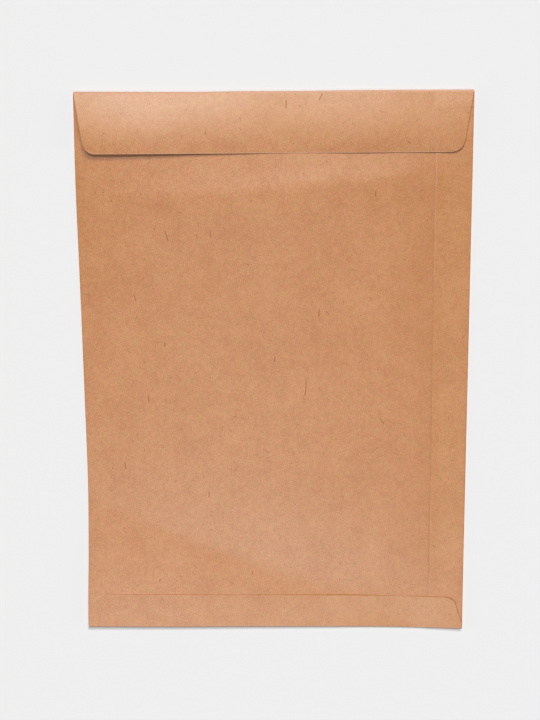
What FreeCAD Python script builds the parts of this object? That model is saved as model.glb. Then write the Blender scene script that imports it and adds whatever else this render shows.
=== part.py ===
import FreeCAD, Part
import math
import os

import Sketcher

# A pocket envelope of brown paper, folded and glued from one sheet and lying on its plain side.
# X runs across the envelope, Y from the bottom fold to the top fold, and Z up from the table.
# The origin is on the table, under the middle of the envelope. Lengths are in millimetres.
#
# The middle of the sheet is the plain panel on the table. Its left wing folds over it as the
# front panel, and its right wing as the seam strip, which is glued on the front panel's edge.
# The bottom flap folds up and is glued on both, and the top flap folds down and lies loose.

Vector = FreeCAD.Vector

SIZES = [
    ("envelope_width", 229.0, "across the two side folds"),
    ("envelope_height", 324.0, "from the bottom fold to the top fold"),
    ("paper", 0.15, "thickness of the paper"),
    ("side_gap", 0.3, "clear gap inside the side folds"),
    ("seam_from_edge", 21.3, "width of the seam strip, from the right side fold to its cut edge"),
    ("seam_overlap", 12.0, "width of the glued lap under the seam strip"),
    ("panel_setback", 0.25, "from the bottom fold's bend to the front panel's lower edge"),
    ("flat_above_flap", 0.6, "flat stretch from the bottom flap to the start of the pocket's rise"),
    ("waist_from_bottom", 97.0, "from the bottom fold to the narrowest place, the waist"),
    ("waist_pull", 2.2, "how far the waist's rise pulls the left side fold in"),
    ("waist_rise", 1.6, "rise of the front panel at the waist"),
    ("middle_from_bottom", 182.0, "from the bottom fold to the section in the middle of the pocket"),
    ("middle_pull", 1.2, "how far the left side fold is pulled in at the middle section"),
    ("middle_rise", 2.3, "rise of the front panel at the middle section"),
    ("crest_from_top", 60.0, "from the top fold to the crest, a soft bend across the front"),
    ("crest_rise", 2.7, "rise of the front panel at the crest"),
    ("flap_rise", 2.1, "rise of the front panel under the top flap's lower edge"),
    ("mouth_rise", 0.5, "rise of the front panel at the mouth of the pocket"),
    ("mouth_setback", 1.2, "from the top fold's bend to the mouth of the pocket"),
    ("flap_setback", 0.1, "from the side folds' bend to the sides of both flaps"),
    ("bottom_depth_left", 21.1, "depth of the bottom flap at its left end"),
    ("bottom_depth_right", 20.1, "depth of the bottom flap at its right end"),
    ("bottom_straight", 4.0, "square part of the bottom flap's sides, next to the fold"),
    ("bottom_taper", 18.0, "slant of the bottom flap's sides, in degrees"),
    ("bottom_corner", 6.0, "radius of the bottom flap's corners"),
    ("top_depth_left", 35.8, "depth of the top flap at its left end"),
    ("top_depth_right", 34.3, "depth of the top flap at its right end"),
    ("top_straight", 1.0, "square part of the top flap's sides, next to the fold"),
    ("top_taper", 9.5, "slant of the top flap's sides, in degrees"),
    ("top_corner", 7.5, "radius of the top flap's corners"),
    ("top_fold_height", 1.5, "outside height of the top fold"),
    ("top_clearance", 0.15, "from the front panel up to the middle of the top flap's lower edge"),
    ("top_crown", 0.5, "arch of the top flap between its fold and its lower edge"),
    ("top_lift_left", 1.8, "from the front panel up to the top flap's lower left corner"),
    ("top_lift_right", 0.4, "from the seam strip up to the top flap's lower right corner"),
    ("trim_margin", 2.0, "how far a flap's blank reaches past the outline that trims it"),
]

HALF_WIDTH = "(Sizes.envelope_width / 2)"
HALF_HEIGHT = "(Sizes.envelope_height / 2)"

# Heights of the layers where the pocket is flat, from the table up
PANEL_LEVEL = "(Sizes.paper + Sizes.side_gap)"
STRIP_LEVEL = f"({PANEL_LEVEL} + Sizes.paper)"
STRIP_TOP = f"({STRIP_LEVEL} + Sizes.paper)"
BOTTOM_TOP = f"({STRIP_TOP} + Sizes.paper)"

# Outer radii of the folds, half the height of what each one holds
LEFT_BEND = f"({STRIP_LEVEL} / 2)"
RIGHT_BEND = f"({STRIP_TOP} / 2)"
BOTTOM_BEND = f"({BOTTOM_TOP} / 2)"
TOP_BEND = "(Sizes.top_fold_height / 2)"

# Places across the envelope, from left to right
LEFT_LINE = f"({LEFT_BEND} - {HALF_WIDTH})"
SEAM_EDGE = f"({HALF_WIDTH} - Sizes.seam_from_edge)"
PANEL_EDGE = f"({SEAM_EDGE} + Sizes.seam_overlap)"
RIGHT_LINE = f"({HALF_WIDTH} - {RIGHT_BEND})"
FLAP_SIDE = f"({RIGHT_LINE} - Sizes.flap_setback)"

# Greatest depths of the two flaps
BOTTOM_REACH = "max(Sizes.bottom_depth_left; Sizes.bottom_depth_right)"
TOP_REACH = "max(Sizes.top_depth_left; Sizes.top_depth_right)"

# Places up the envelope, from the bottom fold to the top fold
BOTTOM_LINE = f"({BOTTOM_BEND} - {HALF_HEIGHT})"
PANEL_FOOT = f"({BOTTOM_LINE} + Sizes.panel_setback)"
RISE_FOOT = f"({BOTTOM_REACH} + Sizes.flat_above_flap - {HALF_HEIGHT})"
BOTTOM_END = f"({BOTTOM_REACH} + Sizes.trim_margin - {HALF_HEIGHT})"
WAIST = f"(Sizes.waist_from_bottom - {HALF_HEIGHT})"
MIDDLE = f"(Sizes.middle_from_bottom - {HALF_HEIGHT})"
CREST = f"({HALF_HEIGHT} - Sizes.crest_from_top)"
FLAP_END = f"({HALF_HEIGHT} - {TOP_REACH} - Sizes.trim_margin)"
TOP_LINE = f"({HALF_HEIGHT} - {TOP_BEND})"
MOUTH = f"({TOP_LINE} - Sizes.mouth_setback)"

# Number of flats that the crease of each fold has in section
FOLD_FLATS = 6

# Sections of the pocket: place up the envelope, rise of its front, pull on its left side fold
STATIONS = {
    "foot": (RISE_FOOT, "0", "0"),
    "waist": (WAIST, "Sizes.waist_rise", "Sizes.waist_pull"),
    "middle": (MIDDLE, "Sizes.middle_rise", "Sizes.middle_pull"),
    "crest": (CREST, "Sizes.crest_rise", "0"),
    "flap": (FLAP_END, "Sizes.flap_rise", "0"),
    "mouth": (MOUTH, "Sizes.mouth_rise", "0"),
}


def make_sheet(doc):
    """The table of driving dimensions, one named cell each."""
    sheet = doc.addObject("Spreadsheet::Sheet", "Sizes")
    for row, (alias, value, meaning) in enumerate(SIZES, start=1):
        sheet.set(f"A{row}", meaning)
        sheet.set(f"B{row}", str(value))
        sheet.setAlias(f"B{row}", alias)
    doc.recompute()
    return sheet


def place(item, **axes):
    """Binds an object's position along the named axes to expressions."""
    for axis, expression in axes.items():
        item.setExpression(f"Placement.Base.{axis}", expression)


def combine(doc, kind, name, first, second):
    """Cuts the second object from the first, or keeps what they share."""
    result = doc.addObject(f"Part::{kind}", name)
    result.Base = first
    result.Tool = second
    return result


def join(doc, name, pieces):
    """Joins objects that share paper into one."""
    result = doc.addObject("Part::MultiFuse", name)
    result.Shapes = pieces
    return result


def flat_layer(doc, name, across, up, level):
    """A flat stretch of paper between two places across and two places up."""
    layer = doc.addObject("Part::Box", name)
    layer.setExpression("Length", f"{across[1]} - {across[0]}")
    layer.setExpression("Width", f"{up[1]} - {up[0]}")
    layer.setExpression("Height", "Sizes.paper")
    place(layer, x=across[0], y=up[0], z=level)
    return layer


def crease(low, high):
    """A fold's half turn in section, as reach and height of the corners between its flats."""
    bend = (high - low) / 2
    angles = [math.pi * number / FOLD_FLATS for number in range(FOLD_FLATS + 1)]
    return [(bend * math.sin(angle), low + bend - bend * math.cos(angle)) for angle in angles]


def cross_fold(doc, size, name, across, line, height, outward):
    """A fold across the envelope, between two places across, bulging towards +Y or -Y."""
    paper = size("Sizes.paper")
    top = size(height)
    corners = [*crease(0, top), *reversed(crease(paper, top - paper))]
    section = doc.addObject("Part::Feature", f"{name}_section")
    section.Shape = Part.makePolygon([Vector(0, outward * reach, z) for reach, z in (*corners, corners[0])])
    place(section, x=across[0], y=line)
    fold = doc.addObject("Part::Extrusion", name)
    fold.Base = section
    fold.Dir = Vector(1, 0, 0)
    fold.Solid = True
    fold.setExpression("LengthFwd", f"{across[1]} - {across[0]}")
    return fold


def bow(first, middle, last):
    """A parabola through three points, or a straight line where they lie level."""
    if first.z == middle.z == last.z:
        return Part.makeLine(first, last)
    curve = Part.BezierCurve()
    curve.setPoles([first, middle * 2 - (first + last) / 2, last])
    return curve.toShape()


def stretch(start, end, height):
    """One stretch of a front section, through the heights at its start, middle and end."""
    return bow(*(Vector(x, 0, height(x)) for x in (start, (start + end) / 2, end)))


def side_fold(line, low, high, outward, below):
    """A side fold in section, its lowest flat drawn on downwards for a later cut to trim."""
    corners = [Vector(line + outward * reach, 0, z) for reach, z in crease(low, high)]
    lowest = corners[1] - corners[0]
    corners[0] -= lowest * (below / lowest.z)
    return corners


def pocket_section(doc, size, side, station):
    """The outside or the inside of the pocket in section, with the step at the end of one layer.

    Outside, the front steps up where the seam strip begins. Inside, it steps up where the front
    panel ends under the strip.
    """
    place_up, rise, pull = STATIONS[station]
    crown = size(rise)
    left = size(LEFT_LINE) + size(pull)
    right = size(RIGHT_LINE)
    middle = (left + right) / 2
    if side == "outside":
        levels = ("0", STRIP_LEVEL, STRIP_TOP, SEAM_EDGE, "Sizes.trim_margin")
    else:
        levels = ("Sizes.paper", PANEL_LEVEL, STRIP_LEVEL, PANEL_EDGE, "0")
    floor, panel, strip, step, below = map(size, levels)

    def arch(x):
        return crown * (1 - ((x - middle) / (right - middle)) ** 2)

    left_fold = side_fold(left, floor, panel, -1, below)
    right_fold = side_fold(right, floor, strip, 1, below)
    edges = [
        *map(Part.makeLine, [left_fold[0], *right_fold], right_fold),
        stretch(right, step, lambda x: strip + arch(x)),
        Part.makeLine(Vector(step, 0, strip + arch(step)), Vector(step, 0, panel + arch(step))),
        stretch(step, left, lambda x: panel + arch(x)),
        *map(Part.makeLine, left_fold[:0:-1], left_fold[-2::-1]),
    ]
    section = doc.addObject("Part::Feature", f"pocket_{side}_{station}")
    section.Shape = Part.Wire(edges)
    place(section, y=place_up)
    return section


def make_pocket(doc, size):
    """The tube of paper: flat and glued at its foot, and swelling between there and the mouth."""
    foot_sides = []
    swelling_sides = []
    for side in ("outside", "inside"):
        sections = [pocket_section(doc, size, side, station) for station in STATIONS]
        foot = doc.addObject("Part::Extrusion", f"pocket_foot_{side}")
        foot.Base = sections[0]
        foot.Dir = Vector(0, -1, 0)
        foot.Solid = True
        foot.setExpression("LengthFwd", f"{RISE_FOOT} - {PANEL_FOOT}")
        foot_sides.append(foot)
        swelling = doc.addObject("Part::Loft", f"pocket_swelling_{side}")
        swelling.Sections = sections
        swelling.Solid = True
        swelling_sides.append(swelling)
    tube = join(doc, "pocket_tube", [
        combine(doc, "Cut", "pocket_foot", *foot_sides),
        combine(doc, "Cut", "pocket_swelling", *swelling_sides),
    ])
    above_table = doc.addObject("Part::Box", "above_table")
    above_table.setExpression("Length", "Sizes.envelope_width + 2 * Sizes.trim_margin")
    above_table.setExpression("Width", "Sizes.envelope_height")
    above_table.setExpression("Height", f"2 * ({STRIP_TOP} + Sizes.crest_rise + Sizes.middle_rise)")
    place(above_table, x=f"-{HALF_WIDTH} - Sizes.trim_margin", y=f"-{HALF_HEIGHT}")
    return combine(doc, "Common", "pocket", tube, above_table)


def flap_outline(doc, size, name):
    """A flap's outline, drawn upwards from its fold.

    The sides run square from the fold, then slant inwards to rounded corners. The free edge is
    the straight line through the flap's depths at its left and right ends.
    """
    side = size(FLAP_SIDE)
    margin = size("Sizes.trim_margin")
    straight = size(f"Sizes.{name}_straight")
    corner = size(f"Sizes.{name}_corner")
    depth = size(f"Sizes.{name}_depth_left")
    inner = side - 2 * corner
    sketch = doc.addObject("Sketcher::SketchObject", f"{name}_outline")
    start, end = 1, 2
    origin = (-1, start)

    def line(*ends):
        return sketch.addGeometry(Part.LineSegment(*(Vector(x, y, 0) for x, y in ends)))

    def bind(label, expression, *constraint):
        index = sketch.addConstraint(Sketcher.Constraint(*constraint))
        sketch.renameConstraint(index, label)
        sketch.setExpression(f"Constraints.{label}", expression)

    base = line((-side, -margin), (side, -margin))
    free_edge = line((inner, depth), (-inner, depth))
    sketch.addConstraint(Sketcher.Constraint("Horizontal", base))
    bind("margin", "Sizes.trim_margin", "DistanceY", base, start, *origin, margin)
    for label, hand, near, far in (("right", 1, start, end), ("left", -1, end, start)):
        square = line((hand * side, -margin), (hand * side, straight))
        slant = line((hand * side, straight), (hand * (side - corner), depth - corner))
        circle = Part.Circle(Vector(hand * inner, depth - corner, 0), Vector(0, 0, 1), corner)
        sweep = sorted((0.5 * math.pi, 0.5 * math.pi * (1 - hand)))
        turn = sketch.addGeometry(Part.ArcOfCircle(circle, *sweep))
        mark = sketch.addGeometry(Part.Point(Vector(hand * side, depth, 0)), True)
        for constraint in (
            ("Coincident", base, far, square, start),
            ("Coincident", square, end, slant, start),
            ("Tangent", slant, end, turn, near),
            ("Tangent", turn, far, free_edge, near),
            ("Vertical", square),
            ("Vertical", mark, start, square, start),
            ("PointOnObject", mark, start, free_edge),
        ):
            sketch.addConstraint(Sketcher.Constraint(*constraint))
        reach = (*origin, square, start) if hand > 0 else (square, start, *origin)
        lean = math.radians(90 + hand * size(f"Sizes.{name}_taper"))
        bind(f"{label}_side", FLAP_SIDE, "DistanceX", *reach, side)
        bind(f"{label}_straight", f"Sizes.{name}_straight", "DistanceY", *origin, square, end, straight)
        bind(f"{label}_taper", f"(90 + {hand} * Sizes.{name}_taper) * 1 deg", "Angle", slant, lean)
        bind(f"{label}_corner", f"Sizes.{name}_corner", "Radius", turn, corner)
        bind(f"{label}_depth", f"Sizes.{name}_depth_{label}", "DistanceY", *origin, mark, start, depth)
    return sketch


def trim_flap(doc, size, name, blank, fold_at, tip):
    """Cuts a flap to its outline, which lies at the flap's fold and is tipped over for the top."""
    outline = flap_outline(doc, size, name)
    outline.Placement.Rotation = FreeCAD.Rotation(Vector(1, 0, 0), tip)
    place(outline, y=fold_at)
    trim = doc.addObject("Part::Extrusion", f"{name}_trim")
    trim.Base = outline
    trim.DirMode = "Normal"
    trim.Symmetric = True
    trim.Solid = True
    trim.setExpression("LengthFwd", "4 * (Sizes.crest_rise + Sizes.top_fold_height + Sizes.top_lift_left)")
    return combine(doc, "Common", f"{name}_flap", blank, trim)


def make_bottom_flap(doc, size):
    """The bottom flap, which steps up where it crosses from the front panel to the seam strip."""
    up = (BOTTOM_LINE, BOTTOM_END)
    low = (f"(0 - {HALF_WIDTH})", SEAM_EDGE)
    high = (f"({SEAM_EDGE} - Sizes.paper)", HALF_WIDTH)
    blank = join(doc, "bottom_blank", [
        cross_fold(doc, size, "bottom_fold_low", low, BOTTOM_LINE, STRIP_TOP, -1),
        cross_fold(doc, size, "bottom_fold_high", high, BOTTOM_LINE, BOTTOM_TOP, -1),
        flat_layer(doc, "bottom_layer_low", low, up, STRIP_LEVEL),
        flat_layer(doc, "bottom_layer_high", high, up, STRIP_TOP),
    ])
    return trim_flap(doc, size, "bottom", blank, f"-{HALF_HEIGHT}", 0)


def flap_section(doc, name, place_up, heights, paper):
    """The top flap in section: a band of paper whose underside bows through three heights."""
    left, middle, right = heights
    underside = bow(left, middle, right)
    rise = Vector(0, 0, paper)
    upper_side = underside.translated(rise)
    ends = [Part.makeLine(point, point + rise) for point in (left, right)]
    section = doc.addObject("Part::Feature", name)
    section.Shape = Part.Wire(Part.sortEdges([underside, ends[1], upper_side, ends[0]])[0])
    place(section, y=place_up)
    return section


def make_top_flap(doc, size):
    """The top flap: down from its fold over the swelling front, with its left corner lifted."""
    paper = size("Sizes.paper")
    reach = size(HALF_WIDTH)
    fold = size("Sizes.top_fold_height") - paper
    lower = [
        size(f"{STRIP_LEVEL} + Sizes.top_lift_left"),
        size(f"{STRIP_LEVEL} + Sizes.flap_rise + Sizes.top_clearance"),
        size(f"{STRIP_TOP} + Sizes.top_lift_right"),
    ]
    crown = size("Sizes.top_crown")
    profiles = (
        ("top_at_fold", TOP_LINE, [fold] * 3),
        ("top_at_crown", f"({TOP_LINE} + {FLAP_END}) / 2", [(fold + z) / 2 + crown for z in lower]),
        ("top_at_end", FLAP_END, lower),
    )
    drape = doc.addObject("Part::Loft", "top_drape")
    drape.Sections = [
        flap_section(doc, name, place_up, [Vector(x, 0, z) for x, z in zip((-reach, 0, reach), heights)], paper)
        for name, place_up, heights in profiles
    ]
    drape.Solid = True
    across = (f"(0 - {HALF_WIDTH})", HALF_WIDTH)
    turn = cross_fold(doc, size, "top_fold", across, TOP_LINE, "Sizes.top_fold_height", 1)
    blank = join(doc, "top_blank", [turn, drape])
    return trim_flap(doc, size, "top", blank, HALF_HEIGHT, 180)


def check(item):
    """Stops where an object failed or has no valid shape."""
    if "Invalid" in item.State or "Error" in item.State:
        raise RuntimeError(f"{item.Label} failed: {item.State}")
    if hasattr(item, "Shape") and (item.Shape.isNull() or not item.Shape.isValid()):
        raise RuntimeError(f"{item.Label} has no valid shape")


def main():
    doc = FreeCAD.newDocument("PaperEnvelope")
    sheet = make_sheet(doc)

    def size(expression):
        return float(sheet.evalExpression(expression))

    back = (LEFT_LINE, RIGHT_LINE)
    envelope = join(doc, "envelope", [
        make_pocket(doc, size),
        flat_layer(doc, "back_below_pocket", back, (BOTTOM_LINE, PANEL_FOOT), "0"),
        flat_layer(doc, "back_above_pocket", back, (MOUTH, TOP_LINE), "0"),
        make_bottom_flap(doc, size),
        make_top_flap(doc, size),
    ])
    doc.recompute()
    for item in doc.Objects:
        check(item)
    if len(envelope.Shape.Solids) != 1:
        raise RuntimeError("the sheet isn't one piece")
    os.makedirs("parts", exist_ok=True)
    envelope.Shape.exportStep(f"parts/{envelope.Label}.step")
    print(envelope.Label, envelope.Shape.BoundBox, round(envelope.Shape.Volume), "mm3 of paper")


main()
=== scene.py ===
import math

import bmesh
import bpy
from mathutils import Euler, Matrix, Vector, noise


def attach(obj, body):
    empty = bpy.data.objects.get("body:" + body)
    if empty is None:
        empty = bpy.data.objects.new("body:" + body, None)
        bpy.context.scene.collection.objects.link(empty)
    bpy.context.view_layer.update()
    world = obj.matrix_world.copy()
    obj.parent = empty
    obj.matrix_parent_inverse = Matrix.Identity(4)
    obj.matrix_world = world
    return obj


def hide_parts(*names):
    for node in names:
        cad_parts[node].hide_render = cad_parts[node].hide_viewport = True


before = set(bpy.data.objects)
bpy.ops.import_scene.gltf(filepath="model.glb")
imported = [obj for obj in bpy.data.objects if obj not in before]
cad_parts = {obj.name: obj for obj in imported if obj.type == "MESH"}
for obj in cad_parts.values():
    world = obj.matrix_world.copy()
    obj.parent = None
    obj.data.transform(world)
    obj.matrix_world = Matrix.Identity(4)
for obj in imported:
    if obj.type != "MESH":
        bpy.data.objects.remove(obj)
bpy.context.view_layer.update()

# A large envelope of brown kraft paper: one sheet, folded and glued, lying on its plain side.
# X runs across, Y from the bottom fold to the top fold, Z up from the table.
# Lengths are in millimetres until a mesh is finished.
MM = 0.001

# The sheet, and the least gap between two layers of it
PAPER = 0.15
HALF_WIDTH = 114.5
HALF_HEIGHT = 162.0
CLEAR = 0.02

# The folds, by the height of the paper's outer face above the table
PANEL_TOP = 0.60
STRIP_TOP = PANEL_TOP + CLEAR + PAPER
LEFT_RADIUS = PANEL_TOP / 2
RIGHT_RADIUS = STRIP_TOP / 2
BOTTOM_RADIUS = (PANEL_TOP + CLEAR + PAPER) / 2
TOP_RADIUS = 0.75
LEFT_FOLD = -HALF_WIDTH + LEFT_RADIUS
RIGHT_FOLD = HALF_WIDTH - RIGHT_RADIUS
BOTTOM_FOLD = -HALF_HEIGHT + BOTTOM_RADIUS
TOP_FOLD = HALF_HEIGHT - TOP_RADIUS

# The seam strip's cut edge, the front panel's lap under it and the mouth of the pocket
SEAM = 93.2
OVERLAP = 12.0
MOUTH = HALF_HEIGHT - 1.2

# The flaps: depth at the left and right end, inset from the envelope's sides, square part of the
# sides next to the fold, slant of the sides in degrees, and corner radius
TOP_DEPTH = (35.6, 34.7)
TOP_INSET = 0.2
TOP_FOOT = 1
TOP_TAPER = 9.2
TOP_CORNER = 7.5
BOTTOM_DEPTH = (21.1, 19.7)
BOTTOM_INSET = (0.3, 0.4)
BOTTOM_FOOT = 4
BOTTOM_TAPER = 18
BOTTOM_CORNER = 6.0

# The front lies on the flat sheet at FRONT_TURN - x, the strip at STRIP_TURN - x, the bottom
# flap at BOTTOM_TURN - y and the top flap at TOP_TURN - y
FRONT_TURN = 2 * LEFT_FOLD - math.pi * LEFT_RADIUS
STRIP_TURN = 2 * RIGHT_FOLD + math.pi * RIGHT_RADIUS
BOTTOM_TURN = 2 * BOTTOM_FOLD - math.pi * BOTTOM_RADIUS
TOP_TURN = 2 * TOP_FOLD + math.pi * TOP_RADIUS


def curve(points, x):
    """A smooth line through a few (place, value) points, level beyond the ends."""
    if x <= points[0][0]:
        return points[0][1]
    if x >= points[-1][0]:
        return points[-1][1]
    last = len(points) - 1
    i = max(k for k in range(last) if points[k][0] <= x)
    before, here, there, after = (points[min(max(k, 0), last)] for k in range(i - 1, i + 3))
    span = there[0] - here[0]
    leave = (there[1] - before[1]) / (there[0] - before[0]) * span
    arrive = (after[1] - here[1]) / (after[0] - here[0]) * span
    f = (x - here[0]) / span
    rise = there[1] - here[1]
    square = 3 * rise - 2 * leave - arrive
    cube = leave + arrive - 2 * rise
    return here[1] + f * leave + f * f * square + f ** 3 * cube


def ease(f):
    """0 up to 1 with a soft start and end."""
    f = min(max(f, 0.0), 1.0)
    return f * f * (3 - 2 * f)


def mix(a, b, f):
    return a + (b - a) * f


# How far the left fold is drawn in, the bottom fold up and the top fold out, along each fold
LEFT_PULL = [
    (-162, 0.3), (-140, 0.8), (-116, 1.6), (-86, 2.1), (-62, 2.2), (-6, 1.55), (51, 0.8),
    (107, -0.1), (162, -0.1),
]
BOTTOM_PULL = [(-114, 1.1), (-60, 1.15), (-20, 1.45), (20, 1.55), (57, 1.55), (88, 1.15), (114, 0.75)]
TOP_PUSH = [(-114, -0.35), (-42, -0.6), (-18, -0.3), (14, -0.25), (46, 0.1), (114, 0.3)]

# How high the front panel stands off the back at mid width, from the bottom flap to the mouth
FRONT_RISE = [
    (-162, 0.0), (-141, 0.0), (-125, 0.7), (-103, 1.4), (-76, 1.85), (-40, 2.05), (0, 2.15),
    (40, 2.4), (72, 2.6), (102, 2.65), (127, 2.05), (150, 1.0), (161, 0.5),
]
# The gap under the free edge of the top flap, from left to right
FLAP_LIFT = [
    (-112, 3.1), (-98, 3.0), (-66, 2.35), (-42, 1.4), (-16, 0.55), (10, 0.06), (28, 0.25),
    (52, 0.7), (64, 0.4), (78, 0.05), (92, 0.3), (112, 0.75),
]
# The gap under the free edge of the bottom flap
BOTTOM_LIFT = [
    (-114, 0.12), (-100, 0.14), (-56, 0.28), (-32, 0.17), (-4, 0.3), (24, 0.52), (46, 0.66),
    (74, 0.12), (92, 0.45), (106, 0.45), (114, 0.45),
]
# The arch of the top flap between its fold and its free edge, which is FLAP_SPAN from the fold
FLAP_CROWN = [(-112, 2.2), (0, 1.95), (112, 2.1)]
FLAP_SPAN = 35.0
# The soft bend across the front below the flap, and how far it falls away on both sides
BEND_LINE = [(-114, 100), (-60, 100), (-25, 102), (15, 106), (84, 114), (114, 116)]
BEND_HEIGHT = 1.35
BEND_BELOW = 30
BEND_ABOVE = 11
# A slanting bend, by a point on it and the way across it to the bottom left corner. Past it the
# front lies flat and the corner stands off the table
SLANT_POINT = (-109, -82)
SLANT_ACROSS = (-0.377, -0.926)
SLANT_SOFTNESS = 2.0
SLANT_SETTLE = 20
# How high the bottom corners stand, and how far along the sheet that goes
LEFT_CURL = 2.1
LEFT_CURL_REACH = 38
RIGHT_CURL = 1.4
RIGHT_CURL_REACH = (62, 50)


def waves(x, y):
    """The sheet's own slight unevenness, in millimetres of height."""
    slow = noise.noise(Vector((x / 62, y / 74, 3.1)))
    quick = noise.noise(Vector((x / 21, y / 26, 8.4)))
    return 0.2 * slow + 0.05 * quick


def beside_slant(x, y, side):
    """How far a point is past the slanting bend on one side, 1 or -1, softly 0 on the other."""
    past = (x - SLANT_POINT[0]) * SLANT_ACROSS[0] + (y - SLANT_POINT[1]) * SLANT_ACROSS[1]
    return (math.hypot(past, SLANT_SOFTNESS) + side * past) / 2


def curled(x, y):
    """The bottom corners stand off the table."""
    right = 1 - (HALF_WIDTH - x) / RIGHT_CURL_REACH[0] - (HALF_HEIGHT + y) / RIGHT_CURL_REACH[1]
    left = 1 - math.exp(-beside_slant(x, y, 1) / LEFT_CURL_REACH)
    return RIGHT_CURL * max(0.0, right) ** 2 + LEFT_CURL * left


def front_height(x, y):
    """The front panel's outer face above the table, before the corners curl."""
    left = LEFT_FOLD + curve(LEFT_PULL, y)
    u = (2 * x - left - RIGHT_FOLD) / (RIGHT_FOLD - left)
    arch = max(0.0, 1 - u * u)
    flat_arch = max(0.0, 1 - u ** 4)
    off = y - curve(BEND_LINE, x)
    fall = BEND_BELOW if off < 0 else BEND_ABOVE
    bend = BEND_HEIGHT * math.exp(0.5 - math.hypot(0.5, off / fall))
    # The bottom flap and the top fold hold the paper flat
    loose = ease((y + 141) / 40) * ease((160 - y) / 24)
    free = 1 - math.exp(-beside_slant(x, y, -1) / SLANT_SETTLE)
    return PANEL_TOP + arch * free * curve(FRONT_RISE, y) + flat_arch * (bend + waves(x, y)) * loose


def strip_height(x, y):
    """The seam strip lies on the front panel's edge, its free edge just off it."""
    lift = 0.2 * ease((SEAM + 6 - x) / 6) * ease((y + 142) / 8)
    return front_height(x, y) + CLEAR + PAPER + lift


def bottom_height(x, y):
    """The bottom flap lies on the front panel and steps up onto the seam strip."""
    step = (CLEAR + PAPER) * ease((x - SEAM + 5) / 6)
    lift = curve(BOTTOM_LIFT, x) * ease((y - BOTTOM_FOLD) / 20)
    return front_height(x, y) + CLEAR + PAPER + step + lift


def top_height(x, back):
    """The top flap springs from its fold and comes down to the front panel."""
    edge = HALF_HEIGHT - mix(*TOP_DEPTH, (x + HALF_WIDTH) / (2 * HALF_WIDTH))
    step = (CLEAR + PAPER) * ease((x - SEAM + 1.6) / 1.8)
    rest = front_height(x, edge) + PAPER + step + curve(FLAP_LIFT, x)
    share = back / FLAP_SPAN
    crown = curve(FLAP_CROWN, x) * (share - max(share, 0) ** 2.8)
    ghost = step * ease(share * 4) * (1 - ease(share))
    ripple = 0.5 * (noise.noise(Vector((x / 34, back / 40, 5.5)))) * share
    return mix(2 * TOP_RADIUS, rest, share) + crown + ghost + max(ripple, -0.03)


def drawn_in(x, y):
    """How far the left fold draws a point to the right."""
    return curve(LEFT_PULL, y) * ((HALF_WIDTH - x) / (2 * HALF_WIDTH)) ** 2


def folded(s, t):
    """Where the point (s, t) of the flat sheet's outer face lies in the folded envelope."""
    if t > TOP_FOLD:
        turn = (t - TOP_FOLD) / TOP_RADIUS
        x = s
        if turn < math.pi:
            y = TOP_FOLD + TOP_RADIUS * math.sin(turn)
            z = TOP_RADIUS * (1 - math.cos(turn))
        else:
            y = TOP_TURN - t
            z = top_height(x, TOP_FOLD - y)
    elif t < BOTTOM_FOLD:
        radius = BOTTOM_RADIUS + (CLEAR + PAPER) / 2 * ease((s - SEAM + 2.2) / 2.4)
        turn = (BOTTOM_FOLD - t) / BOTTOM_RADIUS
        x = s
        if turn < math.pi:
            y = BOTTOM_FOLD - BOTTOM_RADIUS * math.sin(turn)
            z = radius * (1 - math.cos(turn))
        else:
            y = BOTTOM_TURN - t
            z = bottom_height(x, y)
    elif s < LEFT_FOLD:
        turn = (LEFT_FOLD - s) / LEFT_RADIUS
        y = t
        if turn < math.pi:
            x = LEFT_FOLD - LEFT_RADIUS * math.sin(turn)
            z = LEFT_RADIUS * (1 - math.cos(turn))
        else:
            x = FRONT_TURN - s
            x += drawn_in(x, y)
            z = front_height(x, y)
            x -= drawn_in(x, y)
    elif s > RIGHT_FOLD:
        turn = (s - RIGHT_FOLD) / RIGHT_RADIUS
        y = t
        if turn < math.pi:
            x = RIGHT_FOLD + RIGHT_RADIUS * math.sin(turn)
            z = RIGHT_RADIUS * (1 - math.cos(turn))
        else:
            x = STRIP_TURN - s
            z = strip_height(x, y)
    else:
        x, y, z = s, t, 0.0
    z += curled(x, y)
    # The bottom fold's bow fades out 40 mm below the middle, the top fold's 120 mm above it
    low = ease((-40 - y) / (HALF_HEIGHT - 40))
    high = ease((y - 120) / (HALF_HEIGHT - 120))
    y += curve(BOTTOM_PULL, x) * low + curve(TOP_PUSH, x) * high
    x += drawn_in(x, y)
    return Vector((x, y, z))


def rounded_side(foot, side, edge_point, edge, radius, steps=6):
    """The straight cuts that trim a flap's side, its rounded corner and its free edge.

    side and edge are the outward angles, in degrees, of the side's and the edge's cuts.
    """
    cuts = []
    a = Vector((math.cos(math.radians(side)), math.sin(math.radians(side))))
    b = Vector((math.cos(math.radians(edge)), math.sin(math.radians(edge))))
    da = a.dot(Vector(foot)) - radius
    db = b.dot(Vector(edge_point)) - radius
    whole = a.x * b.y - a.y * b.x
    centre = Vector(((da * b.y - db * a.y) / whole, (db * a.x - da * b.x) / whole))
    for i in range(steps + 1):
        angle = math.radians(mix(side, edge, i / steps))
        normal = Vector((math.cos(angle), math.sin(angle)))
        cuts.append((centre + normal * radius, normal))
    return cuts


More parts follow.
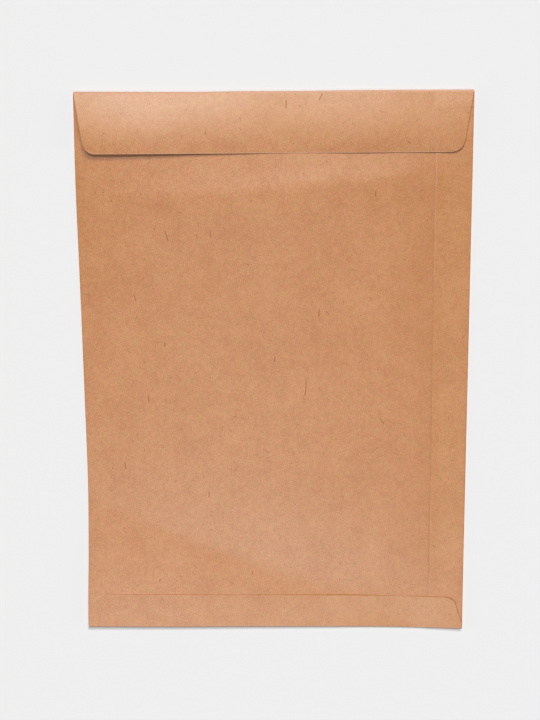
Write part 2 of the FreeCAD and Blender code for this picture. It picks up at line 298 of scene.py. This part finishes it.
def top_flap_cuts():
    """The cuts that shape the top flap in the flat sheet, its left ones and its right ones."""
    turn = TOP_FOLD + math.pi * TOP_RADIUS
    foot = turn + TOP_FOOT
    left = TOP_INSET - HALF_WIDTH
    right = HALF_WIDTH - TOP_INSET
    free_left = turn + TOP_DEPTH[0] - TOP_RADIUS
    free_right = turn + TOP_DEPTH[1] - TOP_RADIUS
    tilt = math.degrees(math.atan2(free_right - free_left, right - left))
    edge = 90 + tilt
    side = 180 - TOP_TAPER
    left_cuts = rounded_side((left + 0.1, foot), side, (left, free_left), edge, TOP_CORNER)
    right_cuts = rounded_side((right - 0.1, foot), TOP_TAPER, (right, free_right), edge, TOP_CORNER)
    return left_cuts, right_cuts


def bottom_flap_cuts():
    """The cuts that shape the bottom flap, whose sides taper from a little above the fold."""
    turn = BOTTOM_FOLD - math.pi * BOTTOM_RADIUS
    foot = turn - BOTTOM_FOOT
    left = BOTTOM_INSET[0] - HALF_WIDTH
    right = HALF_WIDTH - BOTTOM_INSET[1]
    free_left = turn - BOTTOM_DEPTH[0] + BOTTOM_RADIUS
    free_right = turn - BOTTOM_DEPTH[1] + BOTTOM_RADIUS
    tilt = math.degrees(math.atan2(free_right - free_left, right - left))
    side = 180 + BOTTOM_TAPER
    left_cuts = rounded_side((left, foot), side, (left, free_left), 270 + tilt, BOTTOM_CORNER)
    side = -BOTTOM_TAPER
    right_cuts = rounded_side((right, foot), side, (right, free_right), -90 + tilt, BOTTOM_CORNER)
    return left_cuts, right_cuts


def straight_sides(left_inset, right_inset):
    """The cuts that keep a flap's foot a little inside the envelope's sides."""
    return [((left_inset - HALF_WIDTH, 0), (-1, 0)), ((HALF_WIDTH - right_inset, 0), (1, 0))]


def panel(sheet, x_range, y_range, columns, rows, cuts=(), lines=()):
    """Adds one flat part of the sheet, trimmed by cuts and given extra lines across."""
    part = bmesh.new()
    bmesh.ops.create_grid(part, x_segments=columns, y_segments=rows, size=0.5)
    size = (x_range[1] - x_range[0], y_range[1] - y_range[0], 1)
    middle = (sum(x_range) / 2, sum(y_range) / 2, 0)
    bmesh.ops.scale(part, vec=size, verts=part.verts)
    bmesh.ops.translate(part, vec=middle, verts=part.verts)
    marked = [(line, False) for line in lines] + [(cut, True) for cut in cuts]
    for (point, normal), trim in marked:
        bmesh.ops.bisect_plane(
            part,
            geom=part.verts[:] + part.edges[:] + part.faces[:],
            plane_co=(*point, 0),
            plane_no=(*normal, 0),
            dist=0.001,
            clear_outer=trim,
        )
    flat = bpy.data.meshes.new("part")
    part.to_mesh(flat)
    part.free()
    sheet.from_mesh(flat)
    bpy.data.meshes.remove(flat)


def flat_sheet():
    """The blank before folding, its outer face down."""
    sheet = bmesh.new()
    across = (LEFT_FOLD, RIGHT_FOLD)
    along = (BOTTOM_FOLD, TOP_FOLD)
    columns = 96
    rows = 132
    left_turn = LEFT_FOLD - math.pi * LEFT_RADIUS
    right_turn = RIGHT_FOLD + math.pi * RIGHT_RADIUS
    top_turn = TOP_FOLD + math.pi * TOP_RADIUS
    bottom_turn = BOTTOM_FOLD - math.pi * BOTTOM_RADIUS
    front_edge = FRONT_TURN - SEAM - OVERLAP
    strip_edge = STRIP_TURN - SEAM
    # Extra lines where the flaps step over the strip's edge
    steps = [((SEAM + d, 0), (1, 0)) for d in (-3.0, -2.2, -1.2, -0.4, 0.3, 1.0)]
    panel(sheet, across, along, columns, rows, lines=steps)
    panel(sheet, (left_turn, LEFT_FOLD), along, 10, rows)
    mouth = [((0, MOUTH), (0, 1)), ((0, BOTTOM_FOLD + 0.15), (0, -1))]
    panel(sheet, (front_edge, left_turn), along, 92, rows, cuts=mouth)
    panel(sheet, (RIGHT_FOLD, right_turn), along, 10, rows)
    panel(sheet, (right_turn, strip_edge), along, 14, rows, cuts=mouth)

    # The top flap: a short straight foot, tapered sides, round corners
    left_cuts, right_cuts = top_flap_cuts()
    cuts = straight_sides(TOP_INSET, TOP_INSET) + left_cuts + right_cuts
    panel(sheet, across, (TOP_FOLD, top_turn), columns, 12, lines=steps)
    panel(sheet, across, (top_turn, top_turn + 36), columns, 24, cuts=cuts, lines=steps)

    # The bottom flap: its sides follow the envelope's for a few millimetres, then taper
    left_cuts, right_cuts = bottom_flap_cuts()
    cuts = straight_sides(*BOTTOM_INSET) + left_cuts + right_cuts
    panel(sheet, across, (bottom_turn, BOTTOM_FOLD), columns, 10, lines=steps)
    panel(sheet, across, (bottom_turn - 22, bottom_turn), columns, 14, cuts=cuts, lines=steps)

    bmesh.ops.remove_doubles(sheet, verts=sheet.verts, dist=0.002)
    bmesh.ops.reverse_faces(sheet, faces=sheet.faces)
    return sheet


def envelope_sheet(paper, cut_paper):
    """The folded sheet, with the flat blank kept as its map for the paper's pattern."""
    sheet = flat_sheet()
    blank = sheet.loops.layers.uv.new("blank")
    for face in sheet.faces:
        face.smooth = True
        for loop in face.loops:
            loop[blank].uv = (loop.vert.co.x * MM, loop.vert.co.y * MM)
    for edge in sheet.edges:
        edge.smooth = not edge.is_boundary
    for vert in sheet.verts:
        vert.co = folded(vert.co.x, vert.co.y) * MM
    mesh = bpy.data.meshes.new("envelope_paper")
    sheet.to_mesh(mesh)
    sheet.free()
    mesh.materials.append(paper)
    mesh.materials.append(cut_paper)
    made = bpy.data.objects.new("envelope_paper", mesh)
    bpy.context.scene.collection.objects.link(made)
    thickness = made.modifiers.new("thickness", "SOLIDIFY")
    thickness.thickness = PAPER * MM
    thickness.offset = -1
    thickness.material_offset_rim = 1
    return made


class Field:
    """A number that varies over the surface. Sums on it become Math nodes."""

    def __init__(self, finish, socket):
        self.finish = finish
        self.socket = socket

    def math(self, operation, *others):
        values = dict(enumerate((self, *others)))
        return self.finish.add("ShaderNodeMath", {"operation": operation}, values)

    def larger(self, other):
        return self.math("MAXIMUM", other)

    def __add__(self, other):
        return self.math("ADD", other)

    __radd__ = __add__

    def __mul__(self, other):
        return self.math("MULTIPLY", other)

    __rmul__ = __mul__

    def __sub__(self, other):
        return self.math("SUBTRACT", other)

    def __rsub__(self, other):
        return self.finish.add("ShaderNodeMath", {"operation": "SUBTRACT"}, {0: other, 1: self})

    def __truediv__(self, other):
        return self.math("DIVIDE", other)


class Finish:
    """A material's nodes."""

    def __init__(self, name):
        self.material = bpy.data.materials.new(name)
        self.material.use_nodes = True
        self.tree = self.material.node_tree
        self.surface = self.tree.nodes["Principled BSDF"]

    def add(self, kind, settings=None, values=None, out=0):
        node = self.tree.nodes.new(kind)
        for name, value in (settings or {}).items():
            setattr(node, name, value)
        for name, value in (values or {}).items():
            self.put(node, name, value)
        return Field(self, node.outputs[out])

    def put(self, node, name, value):
        if isinstance(value, Field):
            self.tree.links.new(value.socket, node.inputs[name])
        else:
            node.inputs[name].default_value = value

    def shade(self, name, value):
        self.put(self.surface, name, value)

    def cover(self, amount, colour, roughness):
        """A matt colour over the surface wherever amount is 1."""
        values = {"Base Color": colour, "Roughness": roughness, "Specular IOR Level": 0.2}
        matt = self.add("ShaderNodeBsdfPrincipled", None, values)
        under = Field(self, self.surface.outputs[0])
        both = self.add("ShaderNodeMixShader", None, {0: amount, 1: under, 2: matt})
        self.put(self.tree.nodes["Material Output"], "Surface", both)

    def between(self, value, low, high):
        """0 at low and 1 at high, with soft ends; low may be the larger."""
        values = {"Value": value, 1: low, 2: high}
        return self.add("ShaderNodeMapRange", {"interpolation_type": "SMOOTHSTEP"}, values)

    def part(self, vector, axis):
        return self.add("ShaderNodeSeparateXYZ", None, {0: vector}, out="XYZ".index(axis))

    def blend(self, amount, first, second):
        """A colour between two colours."""
        settings = {"data_type": "RGBA"}
        values = {0: amount, 6: first, 7: second}
        return self.add("ShaderNodeMix", settings, values, out=2)

    def noise(self, vector, size, detail=2.0, roughness=0.5):
        """Soft noise with features of about size millimetres, from 0 to 1."""
        values = {"Vector": vector, "Scale": 1 / size, "Detail": detail, "Roughness": roughness}
        return self.add("ShaderNodeTexNoise", {"noise_dimensions": "2D"}, values)

    def cells(self, vector, size, out):
        values = {"Vector": vector, "Scale": 1 / size}
        return self.add("ShaderNodeTexVoronoi", {"voronoi_dimensions": "2D"}, values, out=out)

    def strand(self, dx, dy, angle, half_length, half_width, bend):
        """A short curved fibre about the point that dx and dy are measured from."""
        if isinstance(angle, Field):
            cos = angle.math("COSINE")
            sin = angle.math("SINE")
        else:
            cos = math.cos(angle)
            sin = math.sin(angle)
        along = dx * cos + dy * sin
        across = dy * cos - dx * sin + along * along * bend
        side = self.between(across.math("ABSOLUTE"), half_width, half_width * 0.3)
        ends = self.between(along.math("ABSOLUTE") / half_length, 1.0, 0.8)
        return side * ends

    def strands(self, vector, size, share, half_length, half_width, spread):
        """Scattered upright fibres in a share of the cells, leaning by up to spread degrees."""
        place = self.cells(vector, size, "Position")
        chance = self.cells(vector, size, "Color")
        offset = self.add("ShaderNodeVectorMath", {"operation": "SUBTRACT"}, {0: vector, 1: place})
        dx = self.part(offset, "X")
        dy = self.part(offset, "Y")
        draw = [self.add("ShaderNodeSeparateColor", None, {0: chance}, out=i) for i in range(3)]
        angle = (draw[0] - 0.5) * (2 * math.radians(spread)) + math.radians(90)
        bend = (draw[1] - 0.5) * (0.5 / half_length)
        length = draw[1] * (0.7 * half_length) + 0.3 * half_length
        there = self.between(draw[2], share + 0.01, share - 0.01)
        return self.strand(dx, dy, angle, length, half_width, bend) * there

    def past(self, across, up, cuts):
        """How far a point of the flat sheet is past straight cuts, below 0 inside them all."""
        far = -2 * HALF_HEIGHT
        for point, normal in cuts:
            beyond = (across - point[0]) * normal[0] + (up - point[1]) * normal[1]
            far = beyond.larger(far)
        return far

    def spots(self, vector, size, share, radius):
        """Scattered round specks."""
        far = self.cells(vector, size, "Distance") * size
        chance = self.cells(vector, size, "Color")
        first = self.add("ShaderNodeSeparateColor", None, {0: chance}, out=0)
        second = self.add("ShaderNodeSeparateColor", None, {0: chance}, out=1)
        reach = second * (0.7 * radius) + 0.3 * radius
        return self.between(far / reach, 1.0, 0.6) * self.between(first, share + 0.01, share - 0.01)


# The paper's colours, some of which also serve as painted shade, sheen, highlights and shadows
KRAFT_RED = (0.604, 0.203, 0.058, 1)
KRAFT_YELLOW = (0.548, 0.236, 0.042, 1)
KRAFT_DARK = (0.472, 0.143, 0.010, 1)
KRAFT_LIGHT = (0.666, 0.292, 0.100, 1)
FIBRE_DARK = (0.33, 0.07, 0.0, 1)
PALE_FIBRE_AND_HIGHLIGHT = (0.74, 0.43, 0.26, 1)
FLAP_SHEEN = (0.62, 0.34, 0.06, 1)
STRIP_LIGHT = (0.66, 0.36, 0.14, 1)
MARK = (0.31, 0.09, 0.03, 1)
CUT_EDGE = (0.74, 0.45, 0.27, 1)
TABLE = (0.865, 0.863, 0.864, 1)

# The darkest fibres on the front: across, up, length, lean in degrees
LONG_FIBRES = [
    (18.6, -10.6, 11.0, 86.0),
    (-75.6, -17.6, 4.6, 90.0),
    (-65.0, 15.0, 3.4, 88.0),
    (-91.2, -59.0, 4.4, 98.0),
    (-40.2, -76.8, 3.8, 90.0),
    (-62.2, 79.0, 6.0, 108.0),
    (-36.8, 80.5, 4.8, 92.0),
    (-82.0, 42.8, 4.2, 107.0),
    (26.3, 34.2, 5.0, 85.0),
    (58.7, 103.6, 3.0, 90.0),
    (0.2, 6.5, 3.8, 90.0),
    (64.0, -31.2, 4.8, 124.0),
    (-13.8, -127.6, 3.0, 90.0),
    (-70.6, -132.0, 2.6, 70.0),
]

# The darkest fibres on the top flap, the same way
FLAP_FIBRES = [
    (-38.9, 138.5, 2.6, 90.0),
    (7.3, 154.6, 5.3, 90.0),
    (27.0, 158.6, 4.8, 61.0),
    (77.5, 132.8, 2.6, 140.0),
]


def pulp_colour(finish, sheet, turned, contrast):
    """The cloudy pulp's colour, mottled in hue, and its relief."""
    cloud = finish.noise(sheet, size=30.0, detail=1.0)
    tuft = finish.noise(turned, size=9.0)
    pulp = finish.noise(turned, size=3.0, detail=1.0)
    fine = finish.noise(sheet, size=0.75, roughness=0.7)
    tone = cloud * 0.11 + tuft * 0.13 + pulp * 0.14 + fine * 0.62
    tone = finish.between(tone, contrast + 0.385, 0.615 - contrast)
    warmth = finish.between(finish.noise(sheet, size=4.8, detail=3.0, roughness=0.6), 0.35, 0.65)
    hue = finish.blend(warmth, KRAFT_RED, KRAFT_YELLOW)
    colour = finish.blend(0.3, finish.blend(tone, KRAFT_DARK, KRAFT_LIGHT), hue)
    return colour, pulp * 0.5 + fine * 0.25


def long_fibres(finish, marks, across, up):
    """Adds the darkest fibres of the front and the top flap to the marks."""
    places = [(FRONT_TURN - x, y, length, lean) for x, y, length, lean in LONG_FIBRES]
    places += [(x, TOP_TURN - y, length, lean) for x, y, length, lean in FLAP_FIBRES]
    for x, y, length, lean in places:
        angle = math.radians(180 - lean)
        line = finish.strand(across - x, up - y, angle, length / 2, half_width=0.26, bend=0.012)
        marks = marks.larger(line)
    return marks


def edge_tones(finish, colour, marks, across, up, on_top, on_bottom):
    """Lines some tenths of a millimetre wide at the cut edges: pale where the top flap's free edge
    frays, painted highlights where an edge faces the light, painted shadows beside edges that stand
    off the paper below.
    """
    top_left, top_right = top_flap_cuts()
    bottom_left, bottom_right = bottom_flap_cuts()
    pale_edge = finish.between(finish.past(across, up, top_left[3:]), -0.6, -0.3)
    pale_edge = pale_edge * finish.between(across, 104, 98) * on_top
    colour = finish.blend(pale_edge * 0.35, colour, PALE_FIBRE_AND_HIGHLIGHT)
    # Painted highlight along the bottom flap's left side and corner, where the edge faces the light
    pale_edge = finish.between(finish.past(across, up, bottom_left[1:-1]), -0.5, -0.2) * on_bottom
    colour = finish.blend(pale_edge * 0.5, colour, PALE_FIBRE_AND_HIGHLIGHT)
    # Painted shadows: dark lines just inside the flaps' right sides and corners and the top flap's
    # left side, where the gaps under them would be in shade
    edge_shadow = finish.between(finish.past(across, up, top_right[:-1]), -0.5, -0.2)
    marks = marks.larger(edge_shadow * on_top * 0.75)
    edge_shadow = finish.between(finish.past(across, up, top_left[:4]), -0.45, -0.2)
    marks = marks.larger(edge_shadow * on_top * 0.5)
    edge_shadow = finish.between(finish.past(across, up, bottom_right[:-1]), -0.5, -0.2)
    marks = marks.larger(edge_shadow * on_bottom * 0.8)
    strip_edge = STRIP_TURN - SEAM
    # The seam strip's cut edge: a painted highlight along its upper part and a painted shadow along
    # its lower part
    cut = finish.between(across, strip_edge - 0.55, strip_edge - 0.25)
    colour = finish.blend(cut * finish.between(up, 20, 90) * 0.35, colour, PALE_FIBRE_AND_HIGHLIGHT)
    marks = marks.larger(cut * finish.between(up, 30, -60) * 0.25)
    return colour, marks


def broad_tones(finish, colour, across, up, on_top, on_bottom):
    """Broad differences over the sheet: darker towards the seam, a paler seam strip, and painted
    sheen on the top flap near its fold and on the right of the bottom flap.
    """
    # The front panel grows darker towards the seam strip
    toward_seam = finish.between(across, FRONT_TURN - SEAM + 36, FRONT_TURN - SEAM - 8)
    colour = finish.blend(toward_seam * 0.2, colour, KRAFT_DARK)
    strip = finish.between(across, RIGHT_FOLD + 1.0, RIGHT_FOLD + 2.0)
    colour = finish.blend(strip * 0.07, colour, STRIP_LIGHT)
    # Painted sheen: the top flap lighter and yellower near its fold, and lighter across its middle
    flap_sheen = on_top * finish.between(up, TOP_FOLD + 36, TOP_FOLD + 4)
    colour = finish.blend(flap_sheen * 0.12, colour, FLAP_SHEEN)
    colour = finish.blend(flap_sheen * (1 - flap_sheen) * on_top, colour, KRAFT_LIGHT)
    # Painted sheen: the bottom flap lighter towards its right
    right = finish.between(across, -10, 70)
    return finish.blend(on_bottom * right * 0.14, colour, STRIP_LIGHT)


def kraft(name):
    """Smooth brown kraft: cloudy pulp, dark and light fibres, small specks, a slight sheen, and
    painted shade, shadows, sheen and highlights.
    """
    finish = Finish(name)
    blank = finish.add("ShaderNodeUVMap", {"uv_map": "blank"})
    sheet = finish.add("ShaderNodeVectorMath", {"operation": "SCALE"}, {0: blank, "Scale": 1 / MM})
    turn = {"Vector": sheet, "Angle": 0.6}
    turned = finish.add("ShaderNodeVectorRotate", {"rotation_type": "Z_AXIS"}, turn)
    across = finish.part(sheet, "X")
    up = finish.part(sheet, "Y")
    on_top = finish.between(up, TOP_FOLD + 2.0, TOP_FOLD + 3.0)
    on_bottom = finish.between(up, BOTTOM_FOLD - 2.0, BOTTOM_FOLD - 3.0)

    # The pulp shows a little more on the top flap
    colour, relief = pulp_colour(finish, sheet, turned, on_top * 0.025)
    pale = finish.strands(sheet, 2.4, share=0.7, half_length=0.9, half_width=0.2, spread=85)
    colour = finish.blend(pale * 0.26, colour, PALE_FIBRE_AND_HIGHLIGHT)
    brown = finish.strands(turned, 2.9, share=0.55, half_length=0.9, half_width=0.17, spread=80)
    colour = finish.blend(brown * 0.26, colour, FIBRE_DARK)
    dark = finish.strands(sheet, 12.0, share=0.32, half_length=1.7, half_width=0.19, spread=70)
    marks = finish.spots(sheet, 5.5, share=0.35, radius=0.34) * 0.75
    marks = long_fibres(finish, marks.larger(dark * 0.7), across, up)

    # Painted shade along the top fold's outer curve: darker and a little rougher, which dulls its
    # highlight
    fold_shade = finish.between((up - TOP_FOLD - 1.5).math("ABSOLUTE"), 1.3, 0.7)
    colour = finish.blend(fold_shade * 0.4, colour, KRAFT_DARK)
    colour, marks = edge_tones(finish, colour, marks, across, up, on_top, on_bottom)
    finish.shade("Base Color", broad_tones(finish, colour, across, up, on_top, on_bottom))
    finish.shade("Roughness", fold_shade * 0.1 + 0.425)
    finish.shade("Specular IOR Level", 1.0)
    finish.shade("IOR", 1.7)
    # Matt dark brown over the specks and darkest fibres, and over the painted shadow lines at the
    # edges
    finish.cover(marks, MARK, 0.9)
    relief = relief + pale * 0.12 + dark * 0.2
    bump = {"Strength": 1.0, "Distance": 0.05 * MM, "Height": relief}
    finish.shade("Normal", finish.add("ShaderNodeBump", None, bump))
    return finish.material


def plain(name, colour, roughness):
    finish = Finish(name)
    finish.shade("Base Color", colour)
    finish.shade("Roughness", roughness)
    return finish.material


def make_floor():
    """A plain pale table just under the envelope."""
    table = bmesh.new()
    bmesh.ops.create_grid(table, x_segments=1, y_segments=1, size=3.0)
    bmesh.ops.translate(table, vec=(0, 0, -0.03 * MM), verts=table.verts)
    mesh = bpy.data.meshes.new("table")
    table.to_mesh(mesh)
    table.free()
    mesh.materials.append(plain("table", TABLE, 0.9))
    made = bpy.data.objects.new("table", mesh)
    bpy.context.scene.collection.objects.link(made)


def make_sun(name, strength, tilt, toward, angle):
    """A broad distant lamp, tilt degrees from straight above, standing over the direction toward."""
    lamp = bpy.data.lights.new(name, "SUN")
    lamp.energy = strength
    lamp.angle = math.radians(angle)
    made = bpy.data.objects.new(name, lamp)
    made.rotation_euler = Euler((math.radians(tilt), 0, math.radians(toward + 90)))
    bpy.context.scene.collection.objects.link(made)


# The world's strength as light, and as the camera sees it
WORLD_LIGHT = 0.025
BACKDROP = 0.863


def make_light():
    """Neutral lamps; toward 0 is +X and toward 90 is +Y."""
    make_sun("skylight", strength=1.40, tilt=30, toward=95, angle=16)
    make_sun("window", strength=1.82, tilt=50, toward=77, angle=14)
    make_sun("room", strength=0.65, tilt=31, toward=263, angle=30)
    make_sun("left wall", strength=0.36, tilt=79, toward=185, angle=16)
    make_sun("right wall", strength=0.36, tilt=79, toward=-5, angle=16)
    world = bpy.data.worlds.new("studio")
    bpy.context.scene.world = world
    world.use_nodes = True
    backdrop = world.node_tree.nodes["Background"]
    backdrop.inputs["Color"].default_value = (1, 1, 1, 1)
    path = world.node_tree.nodes.new("ShaderNodeLightPath")
    level = world.node_tree.nodes.new("ShaderNodeMapRange")
    level.inputs["To Min"].default_value = WORLD_LIGHT
    level.inputs["To Max"].default_value = BACKDROP
    world.node_tree.links.new(path.outputs["Is Camera Ray"], level.inputs["Value"])
    world.node_tree.links.new(level.outputs["Result"], backdrop.inputs["Strength"])


# The photograph's camera, in metres and degrees, from the envelope's four corners
CAMERA_PLACE = (0.01398, 0.17000, 0.83520)
CAMERA_TURN = (-11.146, 1.0856, -0.1766)


def make_camera():
    """Nearly straight above the top fold, looking down and a little back towards the bottom."""
    camera = bpy.data.cameras.new("camera")
    camera.lens = 72
    camera.sensor_width = 36
    made = bpy.data.objects.new("camera", camera)
    made.location = CAMERA_PLACE
    made.rotation_euler = Euler([math.radians(angle) for angle in CAMERA_TURN])
    bpy.context.scene.collection.objects.link(made)
    bpy.context.scene.camera = made


make_camera()
make_light()
make_floor()
envelope = envelope_sheet(kraft("brown_paper"), plain("cut_edge", CUT_EDGE, 0.85))
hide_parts("envelope")
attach(envelope, "root")
bpy.context.scene.view_settings.view_transform = "Standard"
